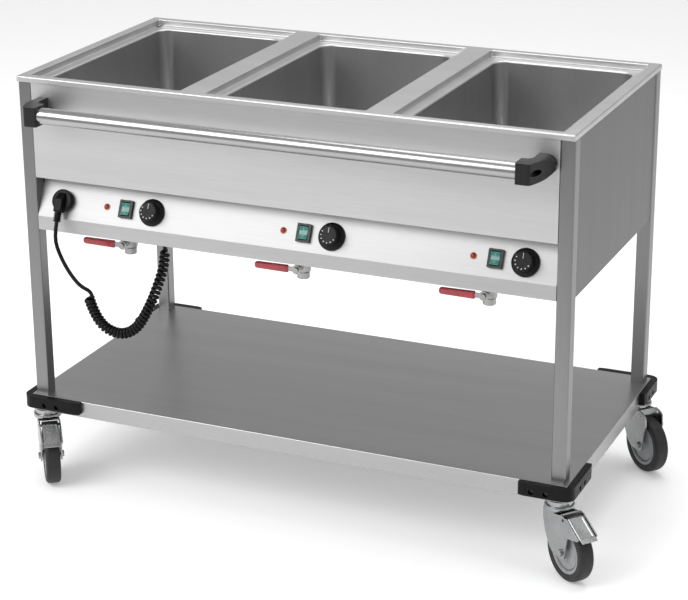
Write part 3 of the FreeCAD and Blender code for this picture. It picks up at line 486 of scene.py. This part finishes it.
def helix(line):
    """Helix round a line: turns touch at its lower part and open towards a straight run at the gland."""
    lengths = [0.0]
    for a, b in zip(line, line[1:]):
        lengths.append(lengths[-1] + (b - a).length)
    total = lengths[-1] - GLAND_RUN
    points = []
    side = Vector((0.0, -1.0, 0.0))
    walked = 0.0
    segment = 0
    angle = -math.pi / 2
    while walked < total:
        while lengths[segment + 1] < walked:
            segment += 1
        share = (walked - lengths[segment]) / (lengths[segment + 1] - lengths[segment])
        centre = line[segment].lerp(line[segment + 1], share)
        along = (line[segment + 1] - line[segment]).normalized()
        side = (side - along * side.dot(along)).normalized()
        other = along.cross(side)
        full = HELIX_RADIUS[0] + (HELIX_RADIUS[1] - HELIX_RADIUS[0]) * walked / total
        radius = full * min(1.0, (total - walked) / HELIX_TAPER)
        points.append(centre + (side * math.cos(angle) + other * math.sin(angle)) * radius)
        angle -= 2 * math.pi / TURN_POINTS
        opening = min(1.0, max(0.0, (walked / total - OPENS_AFTER) / OPENS_OVER))
        walked += (TIGHT_PITCH + (OPEN_PITCH - TIGHT_PITCH) * opening) / TURN_POINTS
    return points


def mains_cord():
    """Whole cord from the gland to the plug as one open spline."""
    coil = helix(smooth_line(COIL_ROUTE))
    below = [(GLAND[0], GLAND[1], GLAND[2] - drop) for drop in (0.0, GLAND_RUN / 2, GLAND_RUN)]
    places = below + coil[::-1] + LEAD_ROUTE[-2::-1]
    cord = spline_object("mains_cord", places, CORD_RADIUS * MM)
    bpy.context.scene.collection.objects.link(cord)
    cord.data.materials.append(FINISHES["cord_rubber"])
    return cord


cord = mains_cord()
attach(cord, "cabinet")
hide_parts("cord_lead", "curly_cord")


# ---------------------------------------------------------------- deck, wells and shelf
def level(outline, height, x=0.0, y=0.0):
    """Outline lifted to a height and moved aside."""
    return [(px + x, py + y, height) for px, py in outline]


def deck():
    """Pressed top with a rolled rim, three stepped recesses and turned-down openings."""
    mesh = Mesh()
    rim = [(12.0, TOP - SHEET), (3.0, TOP - SHEET), (SHEET, TOP - 3.0), (SHEET, RIM_BOTTOM + SHEET),
           (20.0, RIM_BOTTOM + SHEET), (20.0, RIM_BOTTOM), (0.8, RIM_BOTTOM), (0.0, RIM_BOTTOM + 0.8)]
    rim += [(-within, z) for within, z in arc((-3.0, TOP - 3.0), 3.0, 0.0, 90.0)]
    rim.append((9.0, TOP))
    rings = mesh.skin([level(rectangle(HALF_X - within, HALF_Y - within, 3.0), z) for within, z in rim],
                      caps=False)
    under, upper = [rings[0]], [rings[-1]]
    for _, x in GROUPS:
        top_bend, foot_bend, lip_bend = (2.0, TOP - 2.0), (-2.5, LEDGE_TOP + 2.5), (3.5, LEDGE_TOP - 3.5)
        stations = [(RECESS, arc(top_bend, 2.0, 90.0, 180.0, 4)),
                    (RECESS, arc(foot_bend, 2.5, 0.0, -90.0, 4)),
                    (OPENING, arc(lip_bend, 3.5, 90.0, 180.0)),
                    (OPENING, arc(lip_bend, 2.0, 180.0, 90.0)),
                    (RECESS, arc(foot_bend, 4.0, -90.0, 0.0, 4)),
                    (RECESS, arc(top_bend, 0.5, 180.0, 90.0, 4))]
        path = []
        for (half_x, half_y, corner), bend in stations:
            path += [level(rectangle(half_x + out, half_y + out, corner + out), z, x) for out, z in bend]
        rings = mesh.skin(path, caps=False)
        upper.append(rings[0])
        under.append(rings[-1])
    mesh.flat(*upper)
    mesh.flat(*under)
    show("deck_pressing", mesh, "cabinet", FINISHES["brushed_steel"], ["top_deck"])


WELL_TOP = LEDGE_TOP - 3.6
WELL_WALL = 1.2
HEEL = 16.0
WELL_DRAFT = 6.0
DISH_DEPTH = 0.6
STRAINER_HOLE = 1.7
STRAINER_RING = 5.8
SPIGOT_BORE = 8.65
SPIGOT_RADIUS = 10.65
SPIGOT_END = VALVE_Z + 14.0


def well_rings(x, grow):
    """Rings of a drawn wall from its lip to the edge of the flat floor."""
    floor = WELL_FLOOR - grow
    heel = HEEL + grow
    half_x, half_y, corner = OPENING
    stations = [(0.0, WELL_TOP), (0.06 * WELL_DRAFT, WELL_TOP - 12.0), (0.9 * WELL_DRAFT, floor + heel)]
    bend = arc((heel, floor + heel), heel, 180.0, 270.0, 8)[1:]
    stations += [(0.9 * WELL_DRAFT + within, z) for within, z in bend]
    rings = []
    for within, z in stations:
        out = grow - within
        rings.append(level(rectangle(half_x + out, half_y + out, max(corner + out, 7.0), 8), z, x))
    return rings


def well(side, x):
    """Deep-drawn well with a rounded heel, a strainer in a shallow dish and its welded spigot."""
    mesh = Mesh()
    inner = mesh.skin(well_rings(x, 0.0), caps=False)
    outer = mesh.skin(well_rings(x, WELL_WALL), caps=False)
    above, below = WELL_FLOOR - DISH_DEPTH, WELL_FLOOR - DISH_DEPTH - WELL_WALL
    walls = [[(24.0, WELL_FLOOR), (20.0, WELL_FLOOR - 0.2), (15.0, above), (SPIGOT_BORE, above)],
             [(SPIGOT_BORE, below), (SPIGOT_BORE, SPIGOT_END)],
             [(24.2, WELL_FLOOR - WELL_WALL), (13.4, below - 0.3), (SPIGOT_RADIUS, below - 2.4),
              (SPIGOT_RADIUS, SPIGOT_END)]]
    dish, bore, spigot = [mesh.skin([level(circle(x, DRAIN_Y, radius), z) for radius, z in wall], caps=False)
                          for wall in walls]
    holes = [circle(x, DRAIN_Y, STRAINER_HOLE, 16)]
    holes += [circle(x + across, DRAIN_Y + along, STRAINER_HOLE, 16)
              for across, along in circle(0.0, 0.0, STRAINER_RING, 6)]
    upper, lower = [[mesh.ring(level(hole, height)) for hole in holes] for height in (above, below)]
    for first, second in zip(upper, lower):
        mesh.band(first, second)
    mesh.flat(dish[-1], *upper)
    mesh.flat(bore[0], *lower)
    mesh.flat(inner[-1], dish[0])
    mesh.flat(outer[-1], spigot[0])
    mesh.band(inner[0], outer[0])
    mesh.band(bore[-1], spigot[-1])
    show("well_basin_" + side, mesh, "cabinet", FINISHES["well_steel"], ["well_" + side],
         sharp=40.0)


def shelf():
    """Flat shelf with bent edges and a hem underneath."""
    mesh = Mesh()
    hem = SHELF_TOP - 36.5
    steps = [(3.0, SHELF_TOP - SHEET), (SHEET, SHELF_TOP - 3.0), (SHEET, hem + SHEET), (6.0, hem + SHEET),
             (6.0, hem), (1.2, hem), (0.0, hem + 1.2)]
    steps += [(-within, z) for within, z in arc((-2.6, SHELF_TOP - 2.6), 2.6, 0.0, 90.0)]
    mesh.skin([level(rectangle(SHELF_X - within, SHELF_Y - within, 3.0, 3), z) for within, z in steps])
    show("shelf_pressing", mesh, "cabinet", FINISHES["shelf_steel"], ["lower_shelf"])


def leg(name, side, end):
    """Square tube with rounded edges."""
    mesh = Mesh(Matrix.Translation((side * LEG_MID_X, end * LEG_MID_Y, 0.0)))
    outer = rectangle(LEG_HALF, LEG_HALF, 3.0)
    inner = rectangle(LEG_HALF - SHEET, LEG_HALF - SHEET, 1.5)
    mesh.skin([level(outer, SHELF_TOP), level(outer, RIM_BOTTOM), level(inner, RIM_BOTTOM),
               level(inner, SHELF_TOP)], around=True)
    show("leg_tube_" + name, mesh, "cabinet", FINISHES["tube_steel"], ["leg_" + name])


# ---------------------------------------------------------------- handle and controls
def handle():
    """Polished round tube."""
    mesh = Mesh(Matrix.Translation((0.0, HANDLE_Y, HANDLE_Z)) @ Matrix.Rotation(math.pi / 2, 4, "Y"))
    end, outer, inner = HANDLE_HALF, 16.85, 15.35
    mesh.lathe([(outer, -end), (outer, end), (inner, end), (inner, -end)], 72, around=True)
    show("push_handle", mesh, "cabinet", FINISHES["handle_polished"], ["push_handle_tube"])


def lamps():
    """Domed lenses and their amber rings."""
    lens = Mesh()
    rings = Mesh()
    for _, x in GROUPS:
        for mesh in (lens, rings):
            mesh.place = panel_place(x + LAMP_X, CONTROLS_UP)
        lens.lathe([(0.0, 5.4), (2.4, 5.1), (4.2, 4.1), (5.3, 2.7), (5.7, 1.4), (5.0, -1.0), (5.0, -18.0),
                    (0.0, -18.0)], 32)
        rings.lathe([(5.75, 0.1), (6.9, 0.1), (7.0, 0.9), (6.5, 1.7), (5.9, 1.8)], 32, around=True)
    show("lamp_lenses", lens, "cabinet", FINISHES["lamp_lens"], ["indicator_lamps"])
    show("lamp_rings", rings, "cabinet", LAMP_RING)


SIDEWAYS = Matrix(((0, 0, 1, 0), (1, 0, 0, 0), (0, 1, 0, 0), (0, 0, 0, 1)))


def rocker(side, x):
    """Translucent rocker with a hollowed face, its pivot pin, and a line and a ring as its marks."""
    place = panel_place(x + SWITCH_X, CONTROLS_UP)
    mesh = Mesh(place @ SIDEWAYS)
    outline = rounded([(-13.4, -3.0), (-10.0, -11.0), (10.0, -11.0), (13.4, -3.0), (13.0, 7.4),
                       (0.0, 5.4), (-13.0, 9.8)], [0.5, 2.0, 2.0, 0.5, 1.2, 30.0, 1.2], 6)
    mesh.prism(outline, -9.7, 9.7, 0.9)
    mesh.prism(circle(0.0, -5.0, 1.5, 16), -12.4, 12.4)
    body = "rocker_" + side
    show("rocker_body_" + side, mesh, body, FINISHES["rocker_green"], [body])
    upper = Matrix.Translation((0.0, 7.4, 6.5)) @ Matrix.Rotation(math.radians(8.7), 4, "X")
    lower = Matrix.Translation((0.0, -7.4, 7.85)) @ Matrix.Rotation(math.radians(-18.7), 4, "X")
    marks = Mesh(place @ upper)
    marks.prism(rectangle(0.8, 2.6, 0.5, 2), -0.3, 0.3)
    marks.place = place @ lower
    marks.lathe([(1.7, -0.3), (2.6, -0.3), (2.6, 0.35), (1.7, 0.35)], 24, around=True)
    show("rocker_marks_" + side, marks, body, SWITCH_PRINT)


def knob(side, x):
    """Knob with a wide skirt, a ribbed cap, a pointer line and seven dial marks."""
    body = "knob_" + side
    place = panel_place(x + KNOB_X, CONTROLS_UP)
    mesh = Mesh(place)
    mesh.lathe([(0.0, -14.0), (3.0, -14.0), (3.0, 4.0), (6.0, 4.0), (6.0, 1.0), (28.0, 1.0), (28.5, 1.5),
                (28.5, 3.4), (27.9, 4.5), (26.4, 5.6), (24.0, 6.9), (22.0, 8.2)], 96)
    rib_count, steps = 32, 192
    angles = [2 * math.pi * k / steps for k in range(steps)]
    cap = [(21.9, 7.6, 0.0), (20.9, 9.0, 0.15), (20.1, 12.0, 0.3), (19.9, 20.6, 0.3), (19.5, 22.0, 0.15),
           (18.7, 22.8, 0.0), (17.6, 23.0, 0.0), (17.0, 22.7, 0.0)]
    rings = []
    for radius, height, depth in cap:
        reach = [radius + depth * math.cos(rib_count * angle) for angle in angles]
        rings.append([(r * math.cos(a), r * math.sin(a), height) for r, a in zip(reach, angles)])
    mesh.skin(rings)
    show("knob_body_" + side, mesh, body, FINISHES["knob_black"], ["control_knob_" + side])
    marks = Mesh(place @ Matrix.Translation((0.0, 10.8, 0.0)))
    marks.prism(rectangle(0.6, 5.6, 0.5, 2), 22.4, 22.95, 0.15, 2)
    for step in range(7):
        turn = Matrix.Rotation(math.radians(60.0 + 30.0 * step), 4, "Z")
        marks.place = place @ turn @ Matrix.Translation((0.0, 15.1, 0.0))
        marks.prism(rectangle(1.1, 1.5, 0.9, 3), 22.4, 22.95, 0.15, 2)
    show("knob_marks_" + side, marks, body, DIAL_PRINT)


def plug():
    """Angled plug: round flange with a rolled edge, a grip block and a ribbed outlet for the cord."""
    place = panel_place(PLUG_X, CONTROLS_UP)
    mesh = Mesh(place)
    mesh.lathe([(0.0, 5.2), (22.6, 5.2), (23.4, 5.6), (23.9, 6.6), (24.0, 8.4), (24.0, 11.0), (23.6, 12.6),
                (22.6, 13.8), (21.0, 14.5), (0.0, 14.5)], 64)
    mesh.place = place @ SIDEWAYS
    side_view = rounded([(-27.0, 10.5), (16.0, 10.5), (16.0, 15.0), (1.0, 28.0), (-24.0, 28.0),
                         (-27.0, 25.0)], [1.0, 0.0, 3.0, 6.0, 2.5, 2.5], 6)
    mesh.prism(side_view, -9.3, 9.3, 2.6, 5)
    mesh.place = place @ Matrix.Translation((0.0, 0.0, PLUG_AXIS)) @ Matrix.Rotation(math.pi / 2, 4, "X")
    ribs = [(0.0, 12.0), (8.4, 12.0), (8.4, 27.0)]
    for k in range(5):
        start = 27.4 + 3.9 * k
        radius = 8.8 - 0.14 * k
        ribs += [(radius - 2.0, start), (radius - 2.0, start + 1.4), (radius, start + 1.8),
                 (radius - 0.2, start + 3.5)]
    ribs += [(5.4, PLUG_OUTLET), (0.0, PLUG_OUTLET)]
    mesh.lathe(ribs, 48)
    for offset in (-9.5, 9.5):
        mesh.place = place @ Matrix.Translation((offset, 0.0, 0.0))
        mesh.lathe([(0.0, -13.5), (1.8, -13.5), (2.4, -12.6), (2.4, 6.0), (0.0, 6.0)], 20)
    return show("plug_moulding", mesh, "cabinet", FINISHES["plug_rubber"], ["plug"])


# ---------------------------------------------------------------- valves and casters
UPRIGHT = Matrix.Rotation(math.pi / 2, 4, "X")
WHEEL_TRAIL = 42.0
WHEEL_RADIUS = 62.5


def grip(side, x):
    """Dipped grip with a swollen edge."""
    mesh = Mesh(Matrix.Translation((x, DRAIN_Y, VALVE_Z)) @ UPRIGHT)
    outline = rounded([(-94.0, -7.0), (-18.0, -8.0), (-18.0, 8.0), (-94.0, 7.0)], [6.0, 2.5, 2.5, 6.0], 6)
    mesh.prism(outline, 30.4, 39.6, 3.2, 5)
    body = "valve_lever_" + side
    show("grip_dip_" + side, mesh, body, FINISHES["grip_red"], ["valve_grip_" + side])


def heading(side, end, angle):
    """Matrix of a caster's own axes; the wheel trails along the first."""
    base = Matrix.Translation((side * LEG_MID_X, end * LEG_MID_Y, 0.0))
    return base @ Matrix.Rotation(math.radians(angle - 90.0), 4, "Z")


def mirrored(profile):
    """Profile on one side of a wheel, continued on its other side."""
    return profile + [(radius, -height) for radius, height in profile[::-1]]


def wheel(name, side, end, angle):
    """Wheel disc with a hub, a dished web and a stepped rim, and its rubber tread."""
    place = heading(side, end, angle) @ Matrix.Translation((WHEEL_TRAIL, 0.0, WHEEL_RADIUS)) @ UPRIGHT
    disc = Mesh(place)
    disc.lathe(mirrored([(4.06, -19.0), (10.4, -19.0), (11.6, -18.2), (12.6, -13.6), (14.6, -12.2),
                         (36.2, -10.6), (37.2, -8.6), (38.4, -8.6), (39.2, -12.4), (40.6, -13.8),
                         (44.8, -14.4), (46.0, -14.0)]), 80, around=True)
    body = "wheel_" + name
    show("disc_" + name, disc, body, FINISHES["wheel_grey"], ["caster_wheel_" + name],
         sharp=40.0)
    tread = Mesh(place)
    shoulder = arc((55.0, -9.0), 7.2, -90.0, 0.0, 7)
    crown = [(WHEEL_RADIUS, -6.0)]
    tread.lathe(mirrored([(46.0, -15.0), (49.0, -15.8)] + shoulder + crown), 96, around=True)
    show("tread_" + name, tread, body, FINISHES["tyre_grey"], ["caster_tyre_" + name],
         sharp=40.0)


def pedal(name, side, end, angle):
    """Brake pedal: black housing on the cross pin, and a zinc plate with a sunk panel and a lip."""
    base = heading(side, end, angle)
    body = "brake_" + name
    housing = Mesh(base @ UPRIGHT)
    outline = rounded([(38.0, 131.5), (54.0, 131.5), (57.5, 135.0), (56.5, 140.2), (49.5, 143.0),
                       (38.0, 140.8)], [1.5, 2.0, 2.0, 2.0, 3.0, 1.5], 4)
    housing.prism(outline, -17.6, 17.6, 1.2)
    housing.prism(circle(46.0, 134.5, 3.0, 24), -24.0, 24.0)
    show("brake_housing_" + name, housing, body, FINISHES["switch_black"])
    start, finish = Vector((54.0, 0.0, 141.4)), Vector((102.0, 0.0, 112.2))
    slope = math.atan2(start.z - finish.z, finish.x - start.x)
    plate = Mesh(base @ Matrix.Translation(start) @ Matrix.Rotation(slope, 4, "Y"))
    length = (finish - start).length
    half = length / 2
    rings = []
    for within, height in ((0.6, -3.0), (0.0, -2.4), (0.0, -0.7), (0.7, 0.0), (4.6, 0.0), (5.6, -1.0)):
        rings.append(level(rectangle(half - within, 18.0 - within, max(3.0 - within, 1.0), 4), height, half))
    plate.skin(rings)
    lip = rounded([(length - 1.5, -3.0), (length + 7.0, -1.6), (length + 7.4, 0.8), (length - 1.5, 0.4)],
                  [0.0, 0.8, 0.8, 0.0], 3)
    plate.place = plate.place @ UPRIGHT
    plate.prism(lip, -17.6, 17.6, 0.6)
    show("brake_plate_" + name, plate, body, FINISHES["caster_zinc"], ["brake_pedal_" + name])


# ---------------------------------------------------------------- assembly
deck()
shelf()
handle()
lamps()
for side_name, well_x in GROUPS:
    well(side_name, well_x)
    rocker(side_name, well_x)
    knob(side_name, well_x)
    grip(side_name, well_x)
for corner_name, x_side, y_end, wheel_angle in CORNERS:
    leg(corner_name, x_side, y_end)
    wheel(corner_name, x_side, y_end, wheel_angle)
    if y_end < 0:
        pedal(corner_name, x_side, y_end, wheel_angle)
plug_piece = plug()

# CAD nodes whose shapes are right keep them, with rounded edges and a finish.
BEVELS = {"corner_bumper": 1.6, "handle_bracket": 2.2, "switch_housings": 0.7, "caster_fork": 1.0,
          "plug_socket": 0.8, "cable_gland": 0.8, "drain_valves": 0.5, "thermostats": 1.0}
# The side panels take the darker copy of the sheet, which is painted shade.
OWN_FINISH = {"control_panel": PANEL_STEEL, "side_panel_left": SIDE_STEEL_SHADED, "side_panel_right": SIDE_STEEL_SHADED}
for node, piece in frame["nodes"].items():
    if not piece.hide_render:
        family = [width for start, width in BEVELS.items() if node.startswith(start)]
        crease = PANEL_CREASE if node == "control_panel" else SHARP_EDGE
        refined(node, family[0] if family else 0.35, OWN_FINISH.get(node), crease)


# ---------------------------------------------------------------- floor, light and camera
# Metres in front of the unit between which the floor goes from painted shade to full painted light.
PAINTED_SHADE = (-3.1, -1.6)


def floor_painted_light():
    """Pale paint with a painted glow, strongest near the unit, and painted shade that darkens it some way in
    front of the unit.
    """
    paint = Finish("floor_painted_light", (0.92, 0.92, 0.92), 0.0, 0.8, Emission_Color=(1.0, 1.0, 1.0, 1.0))
    split = paint.nodes.new("ShaderNodeSeparateXYZ")
    paint.links.new(paint.coordinates, split.inputs["Vector"])
    forward = split.outputs["Y"]
    # Painted shade: the paint darkens to half its colour far in front of the unit.
    paint.tint(paint.spread(forward, 0.0, 1.0, *PAINTED_SHADE), 0.5, 1.0)
    # Painted light: the floor glows, most strongly near the unit.
    paint.links.new(paint.spread(forward, 0.04, 0.24, *PAINTED_SHADE), paint.shader.inputs["Emission Strength"])
    paint.rough(paint.noise(2.0, 2.0), 0.75, 0.85)
    return paint.material


def floor():
    """Pale studio floor, with painted shade far in front of the unit and a painted glow near it."""
    mesh = Mesh()
    outline = rectangle(9000.0, 9000.0, 50.0, 2)
    mesh.skin([level(outline, -40.0), level(outline, -0.5)])
    data = bpy.data.meshes.new("floor")
    data.from_pydata([at(point) for point in mesh.points], [], mesh.faces)
    data.materials.append(floor_painted_light())
    obj = bpy.data.objects.new("floor", data)
    bpy.context.scene.collection.objects.link(obj)


def softbox(name, place, target, width, height, power):
    """Large soft light aimed at a point, in metres."""
    light = bpy.data.lights.new(name, "AREA")
    light.shape = "RECTANGLE"
    light.size = width
    light.size_y = height
    light.energy = power
    obj = bpy.data.objects.new(name, light)
    obj.location = place
    obj.rotation_euler = (Vector(target) - Vector(place)).to_track_quat("-Z", "Y").to_euler()
    bpy.context.scene.collection.objects.link(obj)


def studio():
    """Even pale surroundings with a brighter upper part, and three softboxes."""
    world = bpy.data.worlds.new("studio")
    bpy.context.scene.world = world
    world.use_nodes = True
    nodes = world.node_tree.nodes
    links = world.node_tree.links
    place = nodes.new("ShaderNodeTexCoord")
    split = nodes.new("ShaderNodeSeparateXYZ")
    ramp = nodes.new("ShaderNodeValToRGB")
    ramp.color_ramp.elements[0].position = 0.0
    ramp.color_ramp.elements[0].color = (0.75, 0.75, 0.76, 1.0)
    ramp.color_ramp.elements[1].position = 0.75
    ramp.color_ramp.elements[1].color = (1.0, 1.0, 1.0, 1.0)
    links.new(place.outputs["Generated"], split.inputs["Vector"])
    links.new(split.outputs["Z"], ramp.inputs["Fac"])
    links.new(ramp.outputs["Color"], nodes["Background"].inputs["Color"])
    nodes["Background"].inputs["Strength"].default_value = 0.62
    softbox("key_light", (-2.2, -3.3, 3.2), (0.0, 0.0, 0.6), 3.4, 2.4, 130.0)
    softbox("top_light", (0.3, 0.5, 3.6), (0.0, 0.0, 0.5), 3.0, 2.0, 60.0)
    softbox("fill_light", (3.4, -0.6, 1.8), (0.0, 0.0, 0.6), 1.6, 2.0, 8.0)


CAMERA_AZIMUTH = math.radians(23.958)
CAMERA_ELEVATION = math.radians(19.384)
CAMERA_ROLL = math.radians(-0.472)
CAMERA_DISTANCE = 4.43053
CAMERA_TARGET = at((-4.05, -14.9, TOP - 428.6))


def camera():
    """Camera at the photograph's viewing angle."""
    flat = math.cos(CAMERA_ELEVATION)
    back = Vector((math.sin(CAMERA_AZIMUTH) * flat, -math.cos(CAMERA_AZIMUTH) * flat,
                   math.sin(CAMERA_ELEVATION)))
    across = Vector((0.0, 0.0, 1.0)).cross(back).normalized()
    turn = Matrix.Rotation(CAMERA_ROLL, 3, "Z")
    axes = Matrix((across, back.cross(across), back)).transposed() @ turn
    data = bpy.data.cameras.new("camera")
    data.sensor_width = 36.0
    data.lens = 107.86
    data.shift_x = 0.00853
    data.shift_y = -0.05038
    data.clip_end = 60.0
    obj = bpy.data.objects.new("camera", data)
    obj.matrix_world = Matrix.Translation(CAMERA_TARGET + back * CAMERA_DISTANCE) @ axes.to_4x4()
    bpy.context.scene.collection.objects.link(obj)
    bpy.context.scene.camera = obj


floor()
studio()
camera()
bpy.context.scene.view_settings.view_transform = "Standard"
